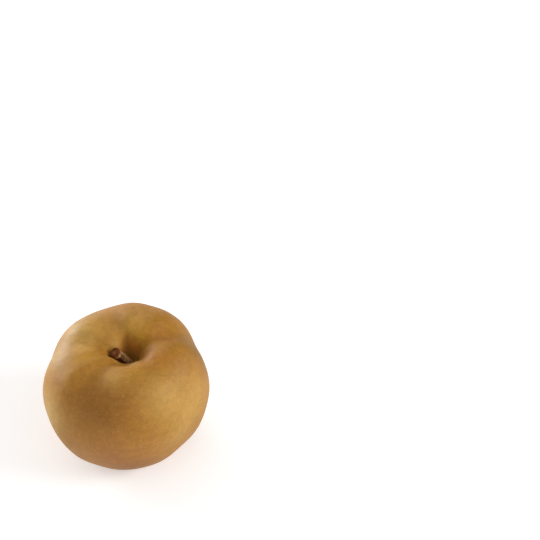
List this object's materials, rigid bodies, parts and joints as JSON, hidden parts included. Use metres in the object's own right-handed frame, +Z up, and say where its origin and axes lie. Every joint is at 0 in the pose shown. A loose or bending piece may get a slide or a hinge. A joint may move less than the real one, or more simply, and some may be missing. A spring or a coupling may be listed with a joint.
{
  "type": "canada reinette apple",
  "caption": "Ribbed, flattened russet apple that stands on the lobes round its calyx, with a short woody stem leaning out of its deep cavity.",
  "frame": {"origin": "middle of the apple's box on the surface it stands on, under the calyx basin", "axes": "+Z up out of the stem cavity, -Y towards the side that the picture shows, so the stem leans towards -X"},
  "size_m": [0.0838, 0.0839, 0.0696],
  "materials": {
    "skin": "satin, finely russeted",
    "stem": "rough, dry",
    "calyx": "rough, dry"
  },
  "bodies": {
    "root": {"fruit": "skin", "stem": "stem", "calyx": "calyx"}
  },
  "joints": []
}
